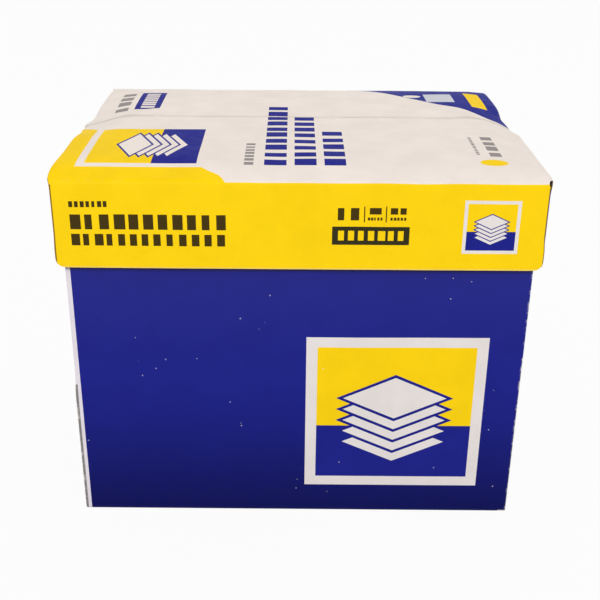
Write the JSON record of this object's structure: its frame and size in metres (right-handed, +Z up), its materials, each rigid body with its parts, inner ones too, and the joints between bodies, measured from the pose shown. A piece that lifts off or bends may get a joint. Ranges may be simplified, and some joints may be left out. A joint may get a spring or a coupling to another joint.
{
  "type": "carton of copier paper",
  "caption": "Closed board carton with a lift-off lid, holding a stack of wrapped reams of A4 sheets; the lid's top panel is bulged and creased across the middle.",
  "frame": {"origin": "middle of the underside of the tray", "axes": "+X along the long side of the sheets, +Y from the front wall to the back wall, +Z up"},
  "size_m": [0.313, 0.236, 0.2635],
  "materials": {
    "tray_board": "dark blue print, satin",
    "lid_board": "off-white liner with yellow print, satin",
    "ream_wrapper": "coated wrapping paper, satin"
  },
  "bodies": {
    "tray": {"carton_base": "tray_board", "ream_1": "ream_wrapper", "ream_2": "ream_wrapper", "ream_3": "ream_wrapper", "ream_4": "ream_wrapper", "ream_5": "ream_wrapper"},
    "lid": {"carton_lid": "lid_board"}
  },
  "joints": [
    {"name": "lid_lift", "type": "slide", "parent": "tray", "child": "lid", "axis": [0, 0, 1], "range_m": [0, 0.075]}
  ]
}
